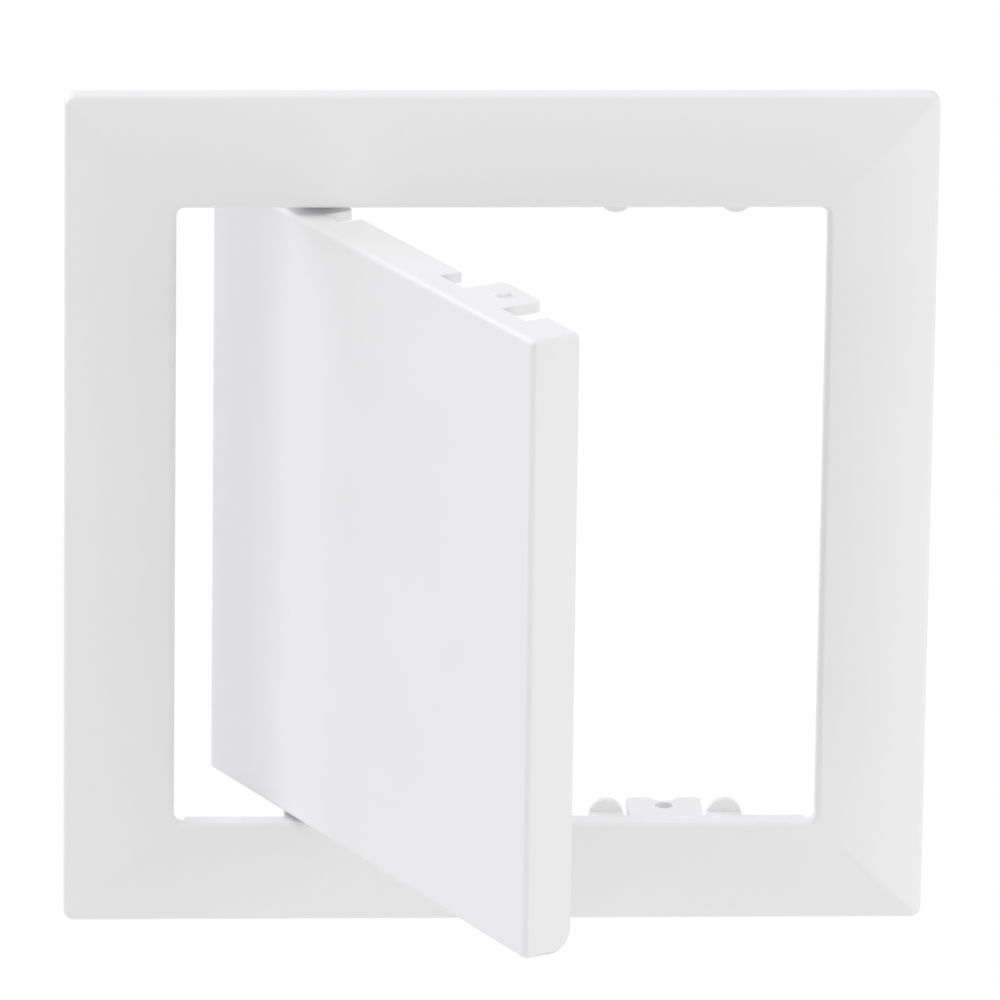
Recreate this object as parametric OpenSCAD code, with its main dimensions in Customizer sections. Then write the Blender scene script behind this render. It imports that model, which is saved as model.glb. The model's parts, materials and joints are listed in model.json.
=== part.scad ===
/* [Frame] */
// Outside width and height of the frame
frame_size = 200; // [185:1:230]
// Width and height of the clear opening
opening = 149; // [140:1:160]
// Corner radius of the frame, seen from the front
frame_corner = 2.5; // [1.5:0.5:6]
// Corner radius of the opening, seen from the front
opening_corner = 2; // [1:0.5:3]
// Height of the outer rim above the wall
rim_h = 5; // [4:0.5:6.5]
// Height of the face above the wall, beside the opening
face_h = 9.5; // [8.5:0.5:11]
// Wall thickness of the frame moulding
frame_wall = 2.2; // [1.6:0.1:2.6]
// Edge radius between the face and the outer rim
rim_round = 1.2; // [0.8:0.1:2]
// Edge radius between the face and the opening
face_round = 1.5; // [0.8:0.1:2]
// Depth of the lip round the opening, measured from the face
lip_depth = 5.5; // [4.5:0.1:6]
// Chamfer on the rear inner edge of the lip
lip_chamfer = 1; // [0.6:0.1:1.2]

/* [Frame back] */
// Thickness of the ribs behind the face
rib_t = 1.4; // [1:0.1:2]
// Distance between neighbouring ribs
rib_pitch = 33; // [24:1:36]
// Distance that the ribs stop short of the wall
rib_short = 0.8; // [0.4:0.1:1.2]
// Length of the relief at each end of a lip
relief = 2.4; // [1.6:0.1:3]
// Height of lip that a relief leaves behind the face
relief_rest = 2.4; // [2:0.1:2.8]

/* [Bearing and catch tabs] */
// Distance of the hinge and catch stations from the middle
station = 40; // [36:0.5:44]
// Width of a tab
tab_w = 17.2; // [14:0.1:20]
// Thickness of a tab
tab_t = 2.4; // [2:0.1:3]
// Length of a tab behind the wall plane
tab_reach = 7.4; // [7:0.1:12]
// Radius of the rear corners of a tab
tab_corner = 1.2; // [0.8:0.1:2]
// Diameter of the hole in a tab
tab_hole = 4; // [3.4:0.1:4.4]
// Width of the finger notch in the rear edge of a tab
tab_notch = 6.2; // [4:0.1:7]
// Depth of the finger notch
tab_notch_depth = 2.4; // [1.6:0.1:2.8]
// Thickness of the gussets outside a tab
gusset_t = 1.6; // [1:0.1:2]
// Height of the gussets outside a tab
gusset_h = 2.2; // [1.5:0.1:3]
// Length of the gussets behind the wall plane
gusset_reach = 4.6; // [3:0.1:5.5]

/* [Door stops] */
// Width of a half-round stop
stop_w = 8; // [6:0.1:9]
// Height of a stop above the lip
stop_h = 3; // [2.6:0.1:3.6]
// Thickness of a stop
stop_t = 2; // [1.6:0.1:2.6]

/* [Door] */
// Gap between the door and the opening, all round
door_gap = 1.5; // [1.2:0.1:1.8]
// Distance that the hung door sits below the middle of the opening
door_sag = 0.3; // [0:0.05:0.4]
// Thickness of the door panel
door_t = 2.5; // [2:0.1:3]
// Depth of the door with its skirt
skirt_depth = 12; // [11.5:0.1:14]
// Thickness of the skirt
skirt_t = 2.5; // [1.8:0.1:3]
// Corner radius of the door, seen from the front
door_corner = 1.2; // [0.8:0.1:3]
// Edge radius round the front of the door
door_round = 1.3; // [0.8:0.1:2]
// Radius of the rear lower corner of the skirt on the free side
skirt_corner = 6; // [2:0.5:7]
// Depth of the ribs behind the panel
door_rib_h = 4.5; // [2:0.1:5]
// Thickness of the ribs behind the panel
door_rib_t = 1.4; // [1:0.1:2]

/* [Spring tongues] */
// Width of a tongue
tongue_w = 17; // [14:0.1:20]
// Depth of a hinge tongue, measured from the front of the door
hinge_tongue_depth = 14.2; // [13.8:0.1:15]
// Depth of a catch tongue, measured from the front of the door
catch_tongue_depth = 17; // [15:0.1:18]
// Radius of the rear corners of a tongue
tongue_corner = 2; // [1:0.1:3]
// Width of the notch on each side of a hinge tongue
hinge_notch_w = 7; // [5:0.1:9]
// Width of the notch on each side of a catch tongue
catch_notch_w = 10.5; // [10:0.1:12]
// Distance of the notches behind the front of the door
notch_floor = 6.5; // [6:0.1:7]
// Distance of the pivot behind the front of the door
pivot_depth = 11.5; // [11:0.1:12]
// Running clearance round a pivot pip
pip_clear = 0.08; // [0.04:0.01:0.1]
// Length of a pivot pip inside its tab
pip_engage = 1.6; // [1.2:0.1:1.8]
// Chamfer on the tip of a pip
pip_tip = 0.4; // [0.2:0.05:0.5]
// Clearance between moving faces
free_gap = 0.3; // [0.2:0.05:0.4]

/* [Pose] */
// Angle at which the door stands open
open_angle = 62.3; // [0:0.1:130]

/* [Hidden] */

$fn = 64;
arc_fn = 720;
overlap = 1;
edge_overlap = 0.2;
white = [0.93, 0.93, 0.92];
door_white = [0.96, 0.96, 0.95];

half_frame = frame_size / 2;
half_opening = opening / 2;
half_door = half_opening - door_gap;

// The face is a shallow arc from the crest beside the opening down to the rim
crest = half_opening + face_round;
face_run = half_frame - crest;
face_drop = face_h - rim_h;
face_r = (face_run * face_run + face_drop * face_drop) / (2 * face_drop);

lip_end = lip_depth - face_h;
lip_outer = half_opening + frame_wall;
relief_depth = lip_depth - relief_rest;

// The pivot axis, and the faces that the stops and the notches share
pivot = [-station, pivot_depth - face_h, 0];
stop_offset = (tongue_w + catch_notch_w) / 2;
stop_front = notch_floor + free_gap - face_h;
pip_r = tab_hole / 2 - pip_clear;
pivot_pip_h = door_gap + pip_engage;
catch_pip_h = door_gap - door_sag - free_gap;

// Square with rounded corners in the plane of the wall, from one depth to another
module rounded_block(half, corner, from_y, to_y) {
    translate([0, to_y, 0])
        rotate([90, 0, 0])
            linear_extrude(to_y - from_y)
                union() {
                    square([2 * half, 2 * (half - corner)], center = true);
                    square([2 * (half - corner), 2 * half], center = true);
                    for (x = [-1, 1], z = [-1, 1])
                        translate([x * (half - corner), z * (half - corner)])
                            circle(corner);
                }
}

// Four copies, one for each side of the frame
module each_side() {
    for (turn = [0:90:270])
        rotate([0, turn, 0])
            children();
}

// One copy at the top and one at the bottom
module top_and_bottom() {
    children();
    mirror([0, 0, 1])
        children();
}

// Section across the frame: flat over the opening, arched over both sides
module crown_section(inset) {
    arc_centre = face_r - face_h;
    edge = half_frame - inset;
    translate([-crest, inset - face_h])
        square([2 * crest, face_h - inset]);
    for (side = [0, 1])
        mirror([side, 0])
            intersection() {
                translate([crest, arc_centre])
                    circle(face_r - inset, $fn = arc_fn);
                translate([crest - overlap, -face_h])
                    square([edge - crest + overlap, face_h]);
            }
}

// The same section with the outer edge rounded
module rounded_section() {
    arc_centre = face_r - face_h;
    run = face_run - rim_round;
    reach = face_r - rim_round;
    rise = sqrt(reach * reach - run * run);
    centre = [crest + run, arc_centre - rise];
    tangent = centre + face_h * [run, -rise] / reach;
    difference() {
        crown_section(0);
        for (side = [0, 1])
            mirror([side, 0])
                polygon([centre, tangent, [half_frame + face_h, tangent[1]], [half_frame + face_h, centre[1]]]);
    }
    for (side = [0, 1])
        mirror([side, 0])
            translate(centre)
                circle(rim_round);
}

// Two crossed extrusions of a section meet in mitres at the corners
module mitred(length) {
    intersection_for(turn = [0, 90])
        rotate([0, turn, 0])
            linear_extrude(length, center = true)
                children();
}

// Space behind the face, open to the wall
module back_space() {
    difference() {
        intersection() {
            mitred(frame_size)
                crown_section(frame_wall);
            rounded_block(half_frame - frame_wall, frame_corner, -face_h, overlap);
        }
        rounded_block(lip_outer, opening_corner + frame_wall, -face_h, lip_end);
    }
}

// Straight ribs across each side and a diagonal rib in each corner
module back_ribs() {
    straight = frame_size - frame_wall;
    diagonal = sqrt(2) * frame_size - frame_corner - frame_corner;
    difference() {
        intersection() {
            mitred(frame_size)
                crown_section(frame_wall / 2);
            union() {
                for (turn = [0, 90], i = [-2:2])
                    rotate([0, turn, 0])
                        translate([i * rib_pitch - rib_t / 2, -face_h, -straight / 2])
                            cube([rib_t, face_h - rib_short, straight]);
                for (turn = [45, 135])
                    rotate([0, turn, 0])
                        translate([-rib_t / 2, -face_h, -diagonal / 2])
                            cube([rib_t, face_h - rib_short, diagonal]);
            }
        }
        rounded_block(lip_outer, opening_corner + frame_wall, lip_end, overlap);
    }
}

// The opening with a rounded front edge and a chamfered rear edge
module opening_cut() {
    straight = half_opening - opening_corner;
    rounded_block(half_opening, opening_corner, -face_h - overlap, tab_reach + overlap);
    each_side() {
        translate([half_opening, -face_h, 0])
            linear_extrude(2 * straight, center = true)
                front_edge_section();
        translate([half_opening, lip_end, 0])
            linear_extrude(2 * (half_opening - relief / 2), center = true)
                polygon([[-overlap, -lip_chamfer - overlap], [lip_chamfer, 0], [-overlap, 0]]);
        translate([straight, -face_h, straight])
            rotate([90, 0, 0])
                rotate_extrude(angle = 360)
                    translate([opening_corner, 0])
                        mirror([0, 1])
                            front_edge_section();
    }
}

// What the rounding takes off beside the opening, from the face down
module front_edge_section() {
    difference() {
        translate([-edge_overlap, -overlap])
            square([face_round + edge_overlap, face_round + overlap]);
        translate([face_round, face_round])
            circle(face_round);
    }
}

// Gaps that part the four lips at the corners
module lip_reliefs() {
    size = relief + frame_wall + overlap;
    for (x = [-1, 1], z = [-1, 1])
        translate([x * (half_opening - relief + size / 2), lip_end - relief_depth / 2 + overlap / 2,
                   z * (half_opening - relief + size / 2)])
            cube([size, relief_depth + overlap, size], center = true);
}

// Outline of a tab, seen along its hole
module tab_outline() {
    start = lip_end - lip_depth / 2;
    difference() {
        union() {
            translate([-tab_w / 2, start])
                square([tab_w, tab_reach - tab_corner - start]);
            translate([tab_corner - tab_w / 2, start])
                square([tab_w - 2 * tab_corner, tab_reach - start]);
            for (side = [-1, 1])
                translate([side * (tab_w / 2 - tab_corner), tab_reach - tab_corner])
                    circle(tab_corner);
        }
        translate([0, pivot[1]])
            circle(tab_hole / 2);
        translate([0, tab_reach - tab_notch_depth + tab_notch / 2])
            circle(tab_notch / 2);
    }
}

// Tab above the opening with its two gussets
module tab() {
    translate([0, 0, half_opening])
        linear_extrude(tab_t)
            tab_outline();
    for (side = [-1, 1])
        translate([side * (tab_w - gusset_t) / 2, 0, half_opening + tab_t])
            rotate([90, 0, 90])
                linear_extrude(gusset_t, center = true)
                    polygon([[frame_wall / 2 - face_h, -tab_t / 2], [gusset_reach, -tab_t / 2],
                             [gusset_reach, 0], [-rib_short, gusset_h], [frame_wall / 2 - face_h, gusset_h]]);
}

// Half-round stop on a short arm behind the lip
module stop() {
    translate([-stop_w / 2, lip_end - frame_wall, half_opening])
        cube([stop_w, stop_front + stop_t - lip_end + frame_wall, frame_wall]);
    translate([0, stop_front + stop_t, 0])
        rotate([90, 0, 0])
            linear_extrude(stop_t)
                intersection() {
                    translate([0, half_opening - stop_h + stop_w / 2])
                        circle(stop_w / 2);
                    translate([-stop_w / 2, half_opening - stop_h])
                        square([stop_w, stop_h + frame_wall]);
                }
}

module frame() {
    color(white)
        union() {
            difference() {
                union() {
                    difference() {
                        intersection() {
                            mitred(frame_size)
                                rounded_section();
                            rounded_block(half_frame, frame_corner, -face_h, 0);
                        }
                        back_space();
                    }
                    back_ribs();
                }
                opening_cut();
                lip_reliefs();
            }
            top_and_bottom() {
                for (side = [-1, 1])
                    translate([side * station, 0, 0])
                        tab();
                for (side = [-1, 1])
                    translate([station + side * stop_offset, 0, 0])
                        stop();
            }
        }
}

// Section of the closed door as a full block, its front edges rounded
module door_section() {
    translate([-half_door, door_round])
        square([2 * half_door, skirt_depth - door_round]);
    translate([door_round - half_door, 0])
        square([2 * (half_door - door_round), skirt_depth]);
    for (side = [-1, 1])
        translate([side * (half_door - door_round), door_round])
            circle(door_round);
}

// Closed door as a full block, measured from its front face back
module door_block() {
    intersection() {
        mitred(2 * half_door)
            door_section();
        rounded_block(half_door, door_corner, 0, skirt_depth);
    }
}

// Tongue in the top skirt, with its rear corners rounded
module tongue(depth) {
    start = door_t - overlap;
    translate([0, 0, half_door - skirt_t])
        linear_extrude(skirt_t) {
            translate([-tongue_w / 2, start])
                square([tongue_w, depth - tongue_corner - start]);
            translate([tongue_corner - tongue_w / 2, start])
                square([tongue_w - 2 * tongue_corner, depth - start]);
            for (side = [-1, 1])
                translate([side * (tongue_w / 2 - tongue_corner), depth - tongue_corner])
                    circle(tongue_corner);
        }
}

// Round pip with a chamfered tip on the outside of a tongue
module pip(height) {
    shank = height - pip_tip + skirt_t / 2;
    translate([0, pivot_depth, half_door - skirt_t / 2]) {
        cylinder(h = shank, r = pip_r);
        translate([0, 0, shank])
            cylinder(h = pip_tip, r1 = pip_r, r2 = pip_r - pip_tip);
    }
}

// Notches that free a tongue, and on the catch side let the stops in
module notches(width) {
    for (side = [-1, 1])
        translate([side * (tongue_w + width) / 2 - width / 2, notch_floor, half_door - skirt_t - overlap])
            cube([width, skirt_depth, skirt_t + 2 * overlap]);
}

// Ribs behind the panel, on the lines of the tongues and across them
module door_ribs() {
    length = 2 * half_door - skirt_t;
    for (turn = [0, 90], side = [-1, 1])
        rotate([0, turn, 0])
            translate([side * station - door_rib_t / 2, door_t - overlap, -length / 2])
                cube([door_rib_t, door_rib_h + overlap, length]);
}

// Rear lower corner of the skirt on the free side
module skirt_corner_cut() {
    translate([half_door - skirt_t - overlap, skirt_depth - skirt_corner, skirt_corner - half_door])
        rotate([0, 90, 0])
            linear_extrude(skirt_t + 2 * overlap)
                difference() {
                    square(skirt_corner + overlap);
                    circle(skirt_corner);
                }
}

module closed_door() {
    difference() {
        door_block();
        rounded_block(half_door - skirt_t, door_corner / 2, door_t, skirt_depth + overlap);
        top_and_bottom() {
            translate([-station, 0, 0])
                notches(hinge_notch_w);
            translate([station, 0, 0])
                notches(catch_notch_w);
        }
        skirt_corner_cut();
    }
    door_ribs();
    top_and_bottom() {
        translate([-station, 0, 0]) {
            tongue(hinge_tongue_depth);
            pip(pivot_pip_h);
        }
        translate([station, 0, 0]) {
            tongue(catch_tongue_depth);
            pip(catch_pip_h);
        }
    }
}

module door() {
    color(door_white)
        translate(pivot)
            rotate([0, 0, -open_angle])
                translate([0, -face_h, -door_sag] - pivot)
                    closed_door();
}

frame();
door();
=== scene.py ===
import json
import math

import bmesh
import bpy
import numpy as np
from mathutils import Matrix, Vector


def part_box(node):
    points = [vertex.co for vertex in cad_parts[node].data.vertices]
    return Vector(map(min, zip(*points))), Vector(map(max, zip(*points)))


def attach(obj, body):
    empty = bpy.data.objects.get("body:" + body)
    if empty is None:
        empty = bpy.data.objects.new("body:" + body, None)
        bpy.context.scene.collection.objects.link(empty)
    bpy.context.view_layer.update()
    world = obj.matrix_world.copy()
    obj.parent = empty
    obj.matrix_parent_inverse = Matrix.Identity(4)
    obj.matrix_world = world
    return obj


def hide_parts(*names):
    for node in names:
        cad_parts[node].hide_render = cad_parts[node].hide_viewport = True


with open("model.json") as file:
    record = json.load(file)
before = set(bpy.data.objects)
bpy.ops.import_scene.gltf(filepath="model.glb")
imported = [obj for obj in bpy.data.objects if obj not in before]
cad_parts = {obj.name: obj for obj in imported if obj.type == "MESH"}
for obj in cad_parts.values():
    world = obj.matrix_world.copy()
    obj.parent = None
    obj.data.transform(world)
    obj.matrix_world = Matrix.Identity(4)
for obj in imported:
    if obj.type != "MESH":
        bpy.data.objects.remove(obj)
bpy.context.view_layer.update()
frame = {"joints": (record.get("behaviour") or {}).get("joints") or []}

# Frame face and lip
# The fixed half is one injection moulding of white plastic, bonded to the wall by its rim.
# Four arched bars meet in mitres, and a plain lip runs round the opening.
MM = 0.001
frame_low, frame_high = (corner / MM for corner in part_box("frame"))
HALF_FRAME = frame_high.x
FACE = frame_low.y
RIM = -5
HALF_OPENING = 74.5
WALL = 2.2
RIM_ROUND = 1.2
FACE_ROUND = 1.5
LIP_END = -4
LIP_CHAMFER = 1
FINE_EDGE = 0.2
CREST = HALF_OPENING + FACE_ROUND
CORNER_STEPS = 10
OUTER_CORNERS = (2, 3.5, 0.6, 0.6, 2.5)
INNER_CORNERS = (2, 4.2, 1.5, 1.5, 2.5)
OUTER_MITRE = (2.5, 1.4)
INNER_MITRE = (3, 2)
FRAME_WHITE = (0.86, 0.86, 0.855)
CLOUD_SHADE = 0.985
CLOUD_SCALE = 28
GLOSS_SCALE = 60
ROUGHNESS = (0.46, 0.54)
SPARK_SCALE = 2600
SPARK_DEPTH = 0.02 * MM


def white_plastic(name, colour):
    """Satin white moulding: a fine sparked texture, with faint clouds in colour and gloss."""
    material = bpy.data.materials.new(name)
    material.use_nodes = True
    nodes, links = material.node_tree.nodes, material.node_tree.links
    shader = nodes["Principled BSDF"]
    place = nodes.new("ShaderNodeTexCoord").outputs["Object"]

    def noise(scale, detail):
        node = nodes.new("ShaderNodeTexNoise")
        node.inputs["Scale"].default_value = scale
        node.inputs["Detail"].default_value = detail
        links.new(place, node.inputs["Vector"])
        return node.outputs["Fac"]

    def spread(value, low, high, socket):
        node = nodes.new("ShaderNodeMapRange")
        node.inputs["From Min"].default_value = 0.35
        node.inputs["From Max"].default_value = 0.65
        node.inputs["To Min"].default_value = low
        node.inputs["To Max"].default_value = high
        links.new(value, node.inputs["Value"])
        links.new(node.outputs["Result"], socket)

    tint = nodes.new("ShaderNodeMix")
    tint.data_type = "RGBA"
    tint.inputs["A"].default_value = (*(CLOUD_SHADE * c for c in colour), 1)
    tint.inputs["B"].default_value = (*colour, 1)
    spread(noise(CLOUD_SCALE, 3), 0, 1, tint.inputs["Factor"])
    links.new(tint.outputs["Result"], shader.inputs["Base Color"])
    spread(noise(GLOSS_SCALE, 4), *ROUGHNESS, shader.inputs["Roughness"])
    shader.inputs["Specular IOR Level"].default_value = 0.4
    bump = nodes.new("ShaderNodeBump")
    bump.inputs["Strength"].default_value = 0.12
    bump.inputs["Distance"].default_value = SPARK_DEPTH
    links.new(noise(SPARK_SCALE, 2), bump.inputs["Height"])
    links.new(bump.outputs["Normal"], shader.inputs["Normal"])
    return material


frame_plastic = white_plastic("frame_plastic", FRAME_WHITE)


def arc(centre, radius, start, end, steps):
    """Points on an arc from one angle to another: 0 points outwards, 90 to the viewer."""
    for step in range(steps + 1):
        angle = math.radians(start + (end - start) * step / steps)
        yield centre[0] + radius * math.cos(angle), centre[1] - radius * math.sin(angle)


def add_ring(mesh, half, depth, corner):
    """Rounded square at one depth, counted from the middle of the opening."""
    ring = []
    for turn in range(4):
        middle = math.radians(45 + 90 * turn)
        reach = math.sqrt(2) * (half - corner)
        for step in range(CORNER_STEPS + 1):
            angle = math.radians(90 * turn + 90 * step / CORNER_STEPS)
            x = reach * math.cos(middle) + corner * math.cos(angle)
            z = reach * math.sin(middle) + corner * math.sin(angle)
            ring.append(mesh.verts.new((x, depth, z)))
    return ring


def join_rings(mesh, rings):
    for first, second in zip(rings, rings[1:]):
        for i in range(len(first)):
            mesh.faces.new((first[i - 1], first[i], second[i], second[i - 1]))


def new_solid(name, mesh):
    """Object in millimetres from a closed bmesh, with its faces turned outwards."""
    bmesh.ops.recalc_face_normals(mesh, faces=mesh.faces)
    data = bpy.data.meshes.new(name)
    mesh.to_mesh(data)
    mesh.free()
    solid = bpy.data.objects.new(name, data)
    bpy.context.scene.collection.objects.link(solid)
    return solid


def face_arc(below):
    """Centre and radius of the arched face, or of a surface at a distance below it."""
    drop = RIM - FACE
    run = HALF_FRAME - CREST
    radius = (run * run + drop * drop) / (2 * drop)
    return (CREST, FACE + radius), radius - below


def frame_section():
    """Outline of a bar, from the rim over face, lip and underside, with each ring's corner radius."""
    centre, radius = face_arc(0)
    rim_x = HALF_FRAME - RIM_ROUND
    rim_y = centre[1] - math.sqrt((radius - RIM_ROUND) ** 2 - (rim_x - CREST) ** 2)
    turn = math.degrees(math.atan2(centre[1] - rim_y, rim_x - CREST))
    outer = [(HALF_FRAME - FINE_EDGE, 0), (HALF_FRAME, -FINE_EDGE)]
    outer += arc((rim_x, rim_y), RIM_ROUND, 0, turn, 8)
    outer += [*arc(centre, radius, turn, 90, 18)][1:]
    outer += [*arc((CREST, FACE + FACE_ROUND), FACE_ROUND, 90, 180, 10)][1:]
    outer += [(HALF_OPENING, LIP_END - LIP_CHAMFER), (HALF_OPENING + LIP_CHAMFER, LIP_END)]
    lip = HALF_OPENING + WALL
    rim = HALF_FRAME - WALL
    centre, radius = face_arc(WALL)
    start, end = (math.degrees(math.acos((x - CREST) / radius)) for x in (lip, rim))
    inner = [(lip - FINE_EDGE, LIP_END), (lip, LIP_END - FINE_EDGE)]
    inner += arc(centre, radius, start, end, 12)
    inner += [(rim, -FINE_EDGE), (rim + FINE_EDGE, 0)]
    # The corners are rounded at the opening and at the rim, with crisp mitres between.
    outer_x = (HALF_OPENING, CREST, CREST + OUTER_MITRE[0], HALF_FRAME - OUTER_MITRE[1], HALF_FRAME)
    inner_x = (HALF_OPENING, lip, lip + INNER_MITRE[0], rim - INNER_MITRE[1], rim)
    return ([(x, y, np.interp(x, outer_x, OUTER_CORNERS)) for x, y in outer]
            + [(x, y, np.interp(x, inner_x, INNER_CORNERS)) for x, y in inner])


def frame_shell():
    mesh = bmesh.new()
    rings = [add_ring(mesh, *point) for point in frame_section()]
    join_rings(mesh, rings + rings[:1])
    return new_solid("frame_moulding", mesh)


frame_moulding = frame_shell()

# Ribs behind the face
# Thin ribs stiffen the arched face behind, five across each bar and one in each mitre.
# They are moulded on and stop short of the wall, with the pads of ejector pins between.
RIB_THICK = 1.4
RIB_PITCH = 33
RIB_COUNT = 5
RIB_SHORT = 0.8
RIB_SEAT = 0.3
MITRE_INSET = 0.6
RELIEF = 2.4
RELIEF_START = FACE + 2.6
PAD_RADIUS = 2
PAD_PROUD = 0.6
PAD_OFFSET = HALF_OPENING + 7.5
OVERCUT = 1
CIRCLE_STEPS = 48
FACING = Matrix(((1, 0, 0, 0), (0, 0, 1, 0), (0, 1, 0, 0), (0, 0, 0, 1)))


def plate(outline, low, high, turn=Matrix(), name="plate"):
    """Flat plate from an outline in x and y, thick along z, and then turned."""
    mesh = bmesh.new()
    sides = [[mesh.verts.new((x, y, z)) for x, y in outline] for z in (low, high)]
    join_rings(mesh, sides)
    for side in sides:
        mesh.faces.new(side)
    mesh.transform(turn)
    return new_solid(name, mesh)


def block(low, high, name="block"):
    (x, y, z), (x_end, y_end, z_end) = low, high
    return plate([(x, y), (x_end, y), (x_end, y_end), (x, y_end)], z, z_end, name=name)


def make_plain(body):
    """Makes what a body's modifiers give its own mesh, and removes them."""
    bpy.context.view_layer.update()
    shown = body.evaluated_get(bpy.context.evaluated_depsgraph_get())
    body.data = bpy.data.meshes.new_from_object(shown)
    body.modifiers.clear()


def combine(body, tools, operation):
    """Unites solids with a body, or cuts them out of it."""
    for tool in tools:
        step = body.modifiers.new("combine", "BOOLEAN")
        step.object = tool
        step.operation = operation
        step.solver = "MANIFOLD"
    make_plain(body)
    for tool in tools:
        bpy.data.objects.remove(tool)


def row_of_parts():
    """Tree that repeats a part in a row, and the row on each side of the opening."""
    tree = bpy.data.node_groups.new("row_of_parts", "GeometryNodeTree")
    for name, kind in (("Part", "Geometry"), ("Count", "Int"), ("Start", "Float"),
                       ("Step", "Float"), ("Sides", "Int"), ("Plastic", "Material")):
        tree.interface.new_socket(name, in_out="INPUT", socket_type="NodeSocket" + kind)
    tree.interface.new_socket("Parts", in_out="OUTPUT", socket_type="NodeSocketGeometry")

    def add(kind, **inputs):
        node = tree.nodes.new(kind)
        for name, value in inputs.items():
            socket = node.inputs[name.replace("_", " ")]
            if isinstance(value, bpy.types.NodeSocket):
                tree.links.new(value, socket)
            else:
                socket.default_value = value
        return node.outputs[0]

    given = tree.nodes.new("NodeGroupInput").outputs
    row = add("GeometryNodeMeshLine", Count=given["Count"],
              Start_Location=add("ShaderNodeCombineXYZ", X=given["Start"]),
              Offset=add("ShaderNodeCombineXYZ", X=given["Step"]))
    parts = add("GeometryNodeInstanceOnPoints", Points=row, Instance=given["Part"])
    sides = add("GeometryNodeMeshLine", Count=given["Sides"], Offset=(0, 0, 0))
    quarter = tree.nodes.new("ShaderNodeMath")
    quarter.operation = "MULTIPLY"
    quarter.inputs[1].default_value = math.pi / 2
    tree.links.new(add("GeometryNodeInputIndex"), quarter.inputs[0])
    rows = add("GeometryNodeInstanceOnPoints", Points=sides, Instance=parts,
               Rotation=add("ShaderNodeCombineXYZ", Y=quarter.outputs[0]))
    real = add("GeometryNodeRealizeInstances", Geometry=rows)
    finish = add("GeometryNodeSetMaterial", Geometry=real, Material=given["Plastic"])
    tree.links.new(finish, tree.nodes.new("NodeGroupOutput").inputs[0])
    return tree


ROW = row_of_parts()


def repeat(part, plastic, count=1, start=0, step=0, sides=1, mirrored=False):
    """The part in a row, on one or more sides of the opening, or above and below it."""
    rows = part.modifiers.new("rows", "NODES")
    rows.node_group = ROW
    values = {"Count": count, "Start": start, "Step": step, "Sides": sides, "Plastic": plastic}
    for socket in ROW.interface.items_tree:
        if socket.name in values:
            rows[socket.identifier] = values[socket.name]
    if mirrored:
        below = part.modifiers.new("below", "MIRROR")
        below.use_axis = (False, False, True)
        below.use_mirror_merge = False
    make_plain(part)
    return part


def rib(stretch, inset, angle):
    """Rib behind the top bar, or stretched along a mitre, from the lip to the rim."""
    centre, radius = face_arc(WALL / 2)
    near = HALF_OPENING + WALL - FINE_EDGE
    root = near - RIB_SEAT
    far = HALF_FRAME - WALL / 2
    start, end = (math.degrees(math.acos((x - CREST) / radius)) for x in (root, far))
    outline = [*arc(centre, radius, start, end, 12), (far, -RIB_SHORT), (near, -RIB_SHORT)]
    outline += [(near, LIP_END - FINE_EDGE), (root, LIP_END - FINE_EDGE)]
    outline = [(stretch * x - inset, y) for x, y in outline]
    upright = Matrix(((0, 0, 1, 0), (0, 1, 0, 0), (1, 0, 0, 0), (0, 0, 0, 1)))
    turn = Matrix.Rotation(math.radians(angle), 4, "Y") @ upright
    return plate(outline, -RIB_THICK / 2, RIB_THICK / 2, turn, "rib")


def circle(centre, radius):
    return [*arc(centre, radius, 0, 360 - 360 / CIRCLE_STEPS, CIRCLE_STEPS - 1)]


def disc(centre, radius, low, high, name):
    """Round plate that faces the wall, between two depths."""
    return plate(circle(centre, radius), low, high, FACING, name)


def ejector_pad():
    """Flat round pad that an ejector pin leaves on the arched underside of the top bar."""
    (middle, height), radius = face_arc(WALL)
    under = height - math.sqrt(radius ** 2 - (PAD_OFFSET - middle) ** 2)
    return disc((0, PAD_OFFSET), PAD_RADIUS, under - WALL / 2, under + PAD_PROUD, "ejector_pad")


def corner_reliefs():
    """Blocks that part the four lips at the corners of the opening."""
    size = RELIEF + WALL + OVERCUT
    start = HALF_OPENING - RELIEF
    for x in (start, -start - size):
        for z in (start, -start - size):
            yield block((x, RELIEF_START, z), (x + size, OVERCUT, z + size))


straight_ribs = repeat(rib(1, 0, 0), frame_plastic, RIB_COUNT,
                       RIB_PITCH * (1 - RIB_COUNT) / 2, RIB_PITCH, sides=4)
mitre_ribs = repeat(rib(math.sqrt(2), MITRE_INSET, 45), frame_plastic, sides=4)
pads = repeat(ejector_pad(), frame_plastic, RIB_COUNT - 1,
              RIB_PITCH * (2 - RIB_COUNT) / 2, RIB_PITCH, sides=4)
combine(frame_moulding, [straight_ribs, mitre_ribs, pads], "UNION")
combine(frame_moulding, list(corner_reliefs()), "DIFFERENCE")

# Tabs and stops
# Four tabs behind the lip have round holes for the pips of the door, and each has a
# finger notch and two gussets. Half-round stops beside the catch tabs halt the door.
STATION = 40
TAB_WIDTH = 17.2
TAB_THICK = 2.4
TAB_REACH = frame_high.y
TAB_CORNER = 1.2
TAB_HOLE = 2
TAB_NOTCH = 3.1
TAB_NOTCH_DEPTH = 2.4
GUSSET_THICK = 1.6
GUSSET_HEIGHT = 2.2
GUSSET_REACH = 4.6
STOP_WIDTH = 8
STOP_HEIGHT = 3
STOP_THICK = 2
STOP_FRONT = -2.7
STOP_OFFSET = 13.75
MERGE_WITHIN = 0.05
SHARP_ANGLE = math.radians(50)
ACROSS = Matrix(((0, 0, 1, 0), (1, 0, 0, 0), (0, 1, 0, 0), (0, 0, 0, 1)))
DOOR_SWING = frame["joints"][0]
PIVOT = Vector(DOOR_SWING["pos_m"]) / MM


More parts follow.
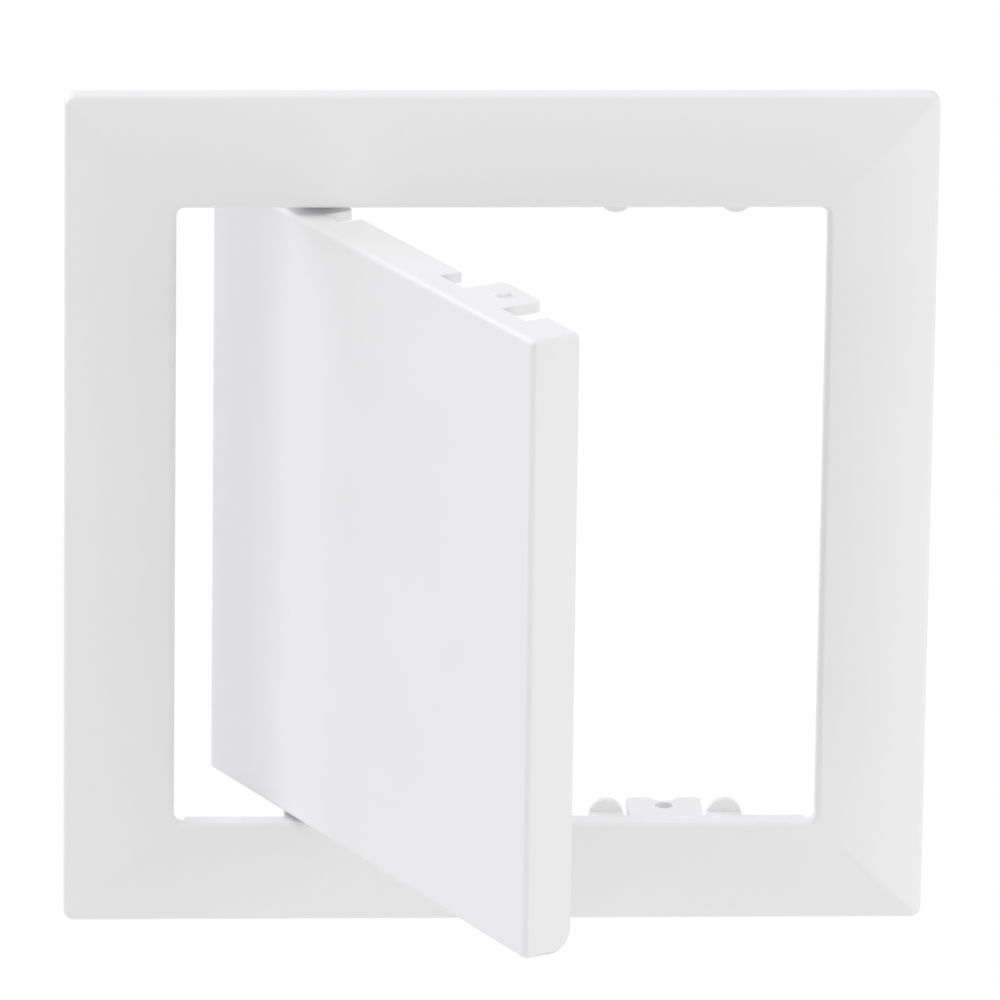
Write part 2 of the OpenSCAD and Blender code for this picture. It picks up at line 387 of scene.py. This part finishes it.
def rounded_end(half, reach, corner, start):
    """The right and the left side of a tab, each with its rounded rear corner."""
    right = [(half, start), *arc((half - corner, reach - corner), corner, 0, -90, 6)]
    left = [*arc((corner - half, reach - corner), corner, -90, -180, 6), (-half, start)]
    return right, left


def tab():
    """Tab above the opening with its hole, its notch and its gussets."""
    notch_y = TAB_REACH - TAB_NOTCH_DEPTH + TAB_NOTCH
    mouth = math.degrees(math.asin((notch_y - TAB_REACH) / TAB_NOTCH))
    right, left = rounded_end(TAB_WIDTH / 2, TAB_REACH, TAB_CORNER, LIP_END - WALL)
    notch = [*arc((0, notch_y), TAB_NOTCH, mouth, 180 - mouth, 16)]
    crown = HALF_OPENING + TAB_THICK
    body = plate(right + notch + left, HALF_OPENING, crown, name="tab")
    hole = plate(circle((0, PIVOT.y), TAB_HOLE), HALF_OPENING - OVERCUT, crown + OVERCUT, name="hole")
    combine(body, [hole], "DIFFERENCE")
    front = FACE + WALL / 2
    foot = crown - TAB_THICK / 2
    side = [(front, foot), (GUSSET_REACH, foot), (GUSSET_REACH, crown),
            (-RIB_SHORT, crown + GUSSET_HEIGHT), (front, crown + GUSSET_HEIGHT)]
    half = TAB_WIDTH / 2
    inside = half - GUSSET_THICK
    gussets = [plate(side, *ends, ACROSS, "gusset") for ends in ((-half, -inside), (inside, half))]
    combine(body, gussets, "UNION")
    return body


def stop():
    """Stop above the opening: a half-round plate on a short arm."""
    radius = STOP_WIDTH / 2
    rear = STOP_FRONT + STOP_THICK
    root = HALF_OPENING + WALL
    arm = block((-radius, LIP_END - WALL, HALF_OPENING), (radius, rear, root), "stop")
    centre = (0, HALF_OPENING - STOP_HEIGHT + radius)
    outline = [(-radius, root), (radius, root), *arc(centre, radius, 0, 180, 32)]
    combine(arm, [plate(outline, STOP_FRONT, rear, FACING)], "UNION")
    return arm


def finish_piece(piece, plastic):
    """Brings a solid to metres in its plastic, rounded on outward and sharp on inward edges."""
    mesh = bmesh.new()
    mesh.from_mesh(piece.data)
    bmesh.ops.remove_doubles(mesh, verts=mesh.verts, dist=MERGE_WITHIN)
    bmesh.ops.scale(mesh, vec=(MM, MM, MM), verts=mesh.verts)
    weight = mesh.edges.layers.float.new("bevel_weight_edge")
    for edge in mesh.edges:
        angle = edge.calc_face_angle_signed(0)
        edge[weight] = 1 if angle > SHARP_ANGLE else 0
        edge.smooth = angle > -SHARP_ANGLE
    mesh.to_mesh(piece.data)
    mesh.free()
    piece.data.materials.clear()
    piece.data.materials.append(plastic)
    for face in piece.data.polygons:
        face.use_smooth = True
    edges = piece.modifiers.new("fine_edges", "BEVEL")
    edges.width = FINE_EDGE * MM
    edges.segments = 2
    edges.use_clamp_overlap = False
    edges.limit_method = "WEIGHT"
    normals = piece.modifiers.new("normals", "WEIGHTED_NORMAL")
    normals.keep_sharp = True


tabs = repeat(tab(), frame_plastic, 2, -STATION, 2 * STATION, mirrored=True)
stops = repeat(stop(), frame_plastic, 2, STATION - STOP_OFFSET, 2 * STOP_OFFSET, mirrored=True)
combine(frame_moulding, [tabs, stops], "UNION")
finish_piece(frame_moulding, frame_plastic)
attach(frame_moulding, "frame")
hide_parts("frame")

# Door panel and skirt
# The door is the second white moulding: a flat panel, ribbed behind, with a skirt all
# round. Notches above and below let its tongues bend and the stops of the frame enter.
DOOR_GAP = 1.5
DOOR_THICK = 2.5
DOOR_CORNER = 1.2
DOOR_ROUND = 1.3
DOOR_FACE_CORNER = 0.5
SKIRT_DEPTH = 12
SKIRT_THICK = 2.5
SKIRT_CORNER = 6
PANEL_ROOT = 1
DOOR_RIB = 4.5
TONGUE_WIDTH = 17
HINGE_NOTCH = 7
CATCH_NOTCH = 10.5
NOTCH_FLOOR = 6.5
MARK_RADIUS = 3
MARK_DEPTH = 0.45
MARK_PITCH = 56
HALF_DOOR = HALF_OPENING - DOOR_GAP
DOOR_WHITE = (0.88, 0.88, 0.875)

door_plastic = white_plastic("door_plastic", DOOR_WHITE)


def door_shell():
    """The panel and its skirt, closed, measured from the front of the door."""
    mesh = bmesh.new()
    inside = HALF_DOOR - SKIRT_THICK
    flat = HALF_DOOR - DOOR_ROUND
    outer = [(HALF_DOOR, SKIRT_DEPTH), *arc((flat, DOOR_ROUND), DOOR_ROUND, 0, 90, 8)]
    inner = [(inside, SKIRT_DEPTH), (inside, DOOR_THICK)]
    corners = (DOOR_FACE_CORNER, DOOR_CORNER)
    outside = [add_ring(mesh, x, y, np.interp(x, (flat, HALF_DOOR), corners)) for x, y in outer]
    hollow = [add_ring(mesh, x, y, DOOR_CORNER / 2) for x, y in inner]
    join_rings(mesh, hollow[::-1] + outside)
    mesh.faces.new(outside[-1])
    mesh.faces.new(hollow[-1])
    return new_solid("door_moulding", mesh)


def door_rib():
    reach = HALF_DOOR - SKIRT_THICK / 2
    return block((-RIB_THICK / 2, DOOR_THICK - PANEL_ROOT, -reach),
                 (RIB_THICK / 2, DOOR_THICK + DOOR_RIB, reach), "door_rib")


def ejector_marks():
    """Shallow round marks of ejector pins, one in each field between the ribs."""
    low = DOOR_THICK - MARK_DEPTH
    for height in (-MARK_PITCH, 0, MARK_PITCH):
        mark = disc((0, height), MARK_RADIUS, low, DOOR_THICK + OVERCUT, "ejector_mark")
        yield repeat(mark, door_plastic, 3, -MARK_PITCH, MARK_PITCH)


def skirt_notches(x, width):
    """What the notches beside a tongue at x take out of the top and bottom skirt."""
    notch = block((-width / 2, NOTCH_FLOOR, HALF_DOOR - SKIRT_THICK - OVERCUT),
                  (width / 2, SKIRT_DEPTH + OVERCUT, HALF_DOOR + OVERCUT), "notch")
    offset = (TONGUE_WIDTH + width) / 2
    return repeat(notch, door_plastic, 2, x - offset, 2 * offset, mirrored=True)


def skirt_corner():
    """What the rounded rear corner takes off the skirt, low on the free side."""
    rear = SKIRT_DEPTH - SKIRT_CORNER
    low = SKIRT_CORNER - HALF_DOOR
    past_rear = rear + 3 * SKIRT_CORNER
    below = low - 3 * SKIRT_CORNER
    outline = [(past_rear, low), *arc((rear, low), SKIRT_CORNER, 0, 90, 12)]
    outline += [(rear, below), (past_rear, below)]
    return plate(outline, HALF_DOOR - SKIRT_THICK - OVERCUT, HALF_DOOR + OVERCUT, ACROSS, "corner")


door_moulding = door_shell()
notches = [skirt_notches(-STATION, HINGE_NOTCH), skirt_notches(STATION, CATCH_NOTCH)]
combine(door_moulding, [*notches, skirt_corner(), *ejector_marks()], "DIFFERENCE")
upright_ribs = repeat(door_rib(), door_plastic, 2, -STATION, 2 * STATION)
level_ribs = repeat(door_rib(), door_plastic, 2, -STATION, 2 * STATION)
level_ribs.data.transform(Matrix.Rotation(math.pi / 2, 4, "Y"))
combine(door_moulding, [upright_ribs, level_ribs], "UNION")

# Tongues and pips
# Four tongues reach deeper than the skirt, each with a round pip. The left pips turn in
# the hinge tabs. The right ones snap into the catch tabs on the real panel, and are kept
# short of the lip here, because these tongues don't bend.
HINGE_TONGUE = 14.2
CATCH_TONGUE = 17
TONGUE_CORNER = 2
PIP_RADIUS = 1.92
PIP_TIP = 0.4
PIVOT_PIP = 3.1
CATCH_PIP = 0.9
DOOR_SAG = 0.3


def pip(height):
    """Round pip on the outside of a top tongue, chamfered at its tip."""
    mesh = bmesh.new()
    root = HALF_DOOR - SKIRT_THICK / 2
    tip = HALF_DOOR + height
    rings = []
    for radius, z in ((PIP_RADIUS, root), (PIP_RADIUS, tip - PIP_TIP), (PIP_RADIUS - PIP_TIP, tip)):
        outline = circle((0, PIVOT.y - FACE), radius)
        rings.append([mesh.verts.new((x, y, z)) for x, y in outline])
    join_rings(mesh, rings)
    mesh.faces.new(rings[0])
    mesh.faces.new(rings[-1])
    return new_solid("pip", mesh)


def tongue(depth):
    right, left = rounded_end(TONGUE_WIDTH / 2, depth, TONGUE_CORNER, DOOR_THICK - PANEL_ROOT)
    return plate(right + left, HALF_DOOR - SKIRT_THICK, HALF_DOOR, name="tongue")


for x, depth, height in ((-STATION, HINGE_TONGUE, PIVOT_PIP), (STATION, CATCH_TONGUE, CATCH_PIP)):
    parts = [repeat(part, door_plastic, start=x, mirrored=True)
             for part in (tongue(depth), pip(height))]
    combine(door_moulding, parts, "UNION")
open_angle = math.radians(DOOR_SWING["range_deg"][0])
door_moulding.data.transform(Matrix.Translation(PIVOT) @ Matrix.Rotation(open_angle, 4, "Z")
                             @ Matrix.Translation(Vector((0, FACE, -DOOR_SAG)) - PIVOT))
finish_piece(door_moulding, door_plastic)
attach(door_moulding, "door")
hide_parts("door")

# Camera
# The panel is seen with a long lens, from above and a little from the left, so that
# the open door points down past the frame.
PHOTO_WIDTH = 1000
SENSOR_MM = 36
FOCAL_PIXELS = 12127
DISTANCE = 2.8
LOOK_AT = Vector((0.00065, 0, 0.00125))
PITCH, YAW, ROLL = (math.radians(angle) for angle in (18.51, -2.86, 0.775))


def add_camera():
    data = bpy.data.cameras.new("camera")
    data.sensor_width = SENSOR_MM
    data.lens = FOCAL_PIXELS / PHOTO_WIDTH * SENSOR_MM
    data.clip_start = 0.1
    data.clip_end = 20
    camera = bpy.data.objects.new("camera", data)
    bpy.context.scene.collection.objects.link(camera)
    turn = (Matrix.Rotation(YAW, 4, "Z") @ Matrix.Rotation(math.pi / 2 - PITCH, 4, "X")
            @ Matrix.Rotation(ROLL, 4, "Z"))
    camera.matrix_world = Matrix.Translation(LOOK_AT + DISTANCE * turn.col[2].xyz) @ turn
    bpy.context.scene.camera = camera


add_camera()

# Floor
# A plain pale studio floor lies well below the panel, which hangs as on a wall. It takes
# the panel's soft shadow, and its rim fades into the white of the room.
FLOOR_RADIUS = 0.7
FLOOR_DROP = 0.45
FADE_START = 0.3
FADE_END = 0.68
FLOOR_WHITE = (0.92, 0.92, 0.92, 1)


def add_floor():
    bpy.ops.mesh.primitive_circle_add(vertices=96, radius=FLOOR_RADIUS, fill_type="NGON",
                                      location=(0, 0, -FLOOR_DROP))
    floor = bpy.context.object
    floor.name = "floor"
    material = bpy.data.materials.new("floor_white")
    material.use_nodes = True
    nodes, links = material.node_tree.nodes, material.node_tree.links
    shader = nodes["Principled BSDF"]
    shader.inputs["Base Color"].default_value = FLOOR_WHITE
    shader.inputs["Roughness"].default_value = 0.9
    reach = nodes.new("ShaderNodeVectorMath")
    reach.operation = "LENGTH"
    links.new(nodes.new("ShaderNodeTexCoord").outputs["Object"], reach.inputs[0])
    fade = nodes.new("ShaderNodeMapRange")
    fade.interpolation_type = "SMOOTHSTEP"
    fade.inputs["From Min"].default_value = FADE_START
    fade.inputs["From Max"].default_value = FADE_END
    fade.inputs["To Min"].default_value = 1
    fade.inputs["To Max"].default_value = 0
    links.new(reach.outputs["Value"], fade.inputs["Value"])
    links.new(fade.outputs["Result"], shader.inputs["Alpha"])
    floor.data.materials.append(material)


add_floor()

# Studio light
# Large soft lamps stand round the panel: two close beside it, one overhead and one behind
# on the left. A pale sky fills the rest, and the room itself is white.
WHITE = (1, 1, 1)
COOL = (0.86, 0.85, 1)
LAMPS = {
    "beside_left": ((-0.42, -0.25, -0.02), 0.5, 0.48, WHITE),
    "beside_right": ((0.42, -0.25, -0.02), 0.5, 0.79, WHITE),
    "overhead": ((0, -0.1, 1.5), 1.1, 6, WHITE),
    "back_left": ((-1.11, 0.93, 0.68), 1.1, 10.5, COOL),
}
SKY = (0.99, 0.987, 1)
SKY_STRENGTH = 0.655


def add_lamp(name, place, size, watts, colour):
    data = bpy.data.lights.new(name, "AREA")
    data.size = size
    data.energy = watts
    data.color = colour
    lamp = bpy.data.objects.new(name, data)
    bpy.context.scene.collection.objects.link(lamp)
    lamp.location = place
    lamp.rotation_mode = "QUATERNION"
    lamp.rotation_quaternion = (-Vector(place)).to_track_quat("-Z", "Y")
    lamp.visible_camera = False


for lamp_name, lamp_settings in LAMPS.items():
    add_lamp(lamp_name, *lamp_settings)


def add_world():
    world = bpy.data.worlds.new("studio")
    bpy.context.scene.world = world
    world.use_nodes = True
    nodes, links = world.node_tree.nodes, world.node_tree.links
    sky = nodes["Background"]
    sky.inputs["Color"].default_value = (*SKY, 1)
    sky.inputs["Strength"].default_value = SKY_STRENGTH
    white = nodes.new("ShaderNodeBackground")
    white.inputs["Color"].default_value = (*WHITE, 1)
    rays = nodes.new("ShaderNodeLightPath")
    mix = nodes.new("ShaderNodeMixShader")
    links.new(rays.outputs["Is Camera Ray"], mix.inputs[0])
    links.new(sky.outputs[0], mix.inputs[1])
    links.new(white.outputs[0], mix.inputs[2])
    links.new(mix.outputs[0], nodes["World Output"].inputs[0])


add_world()
bpy.context.scene.view_settings.view_transform = "Standard"
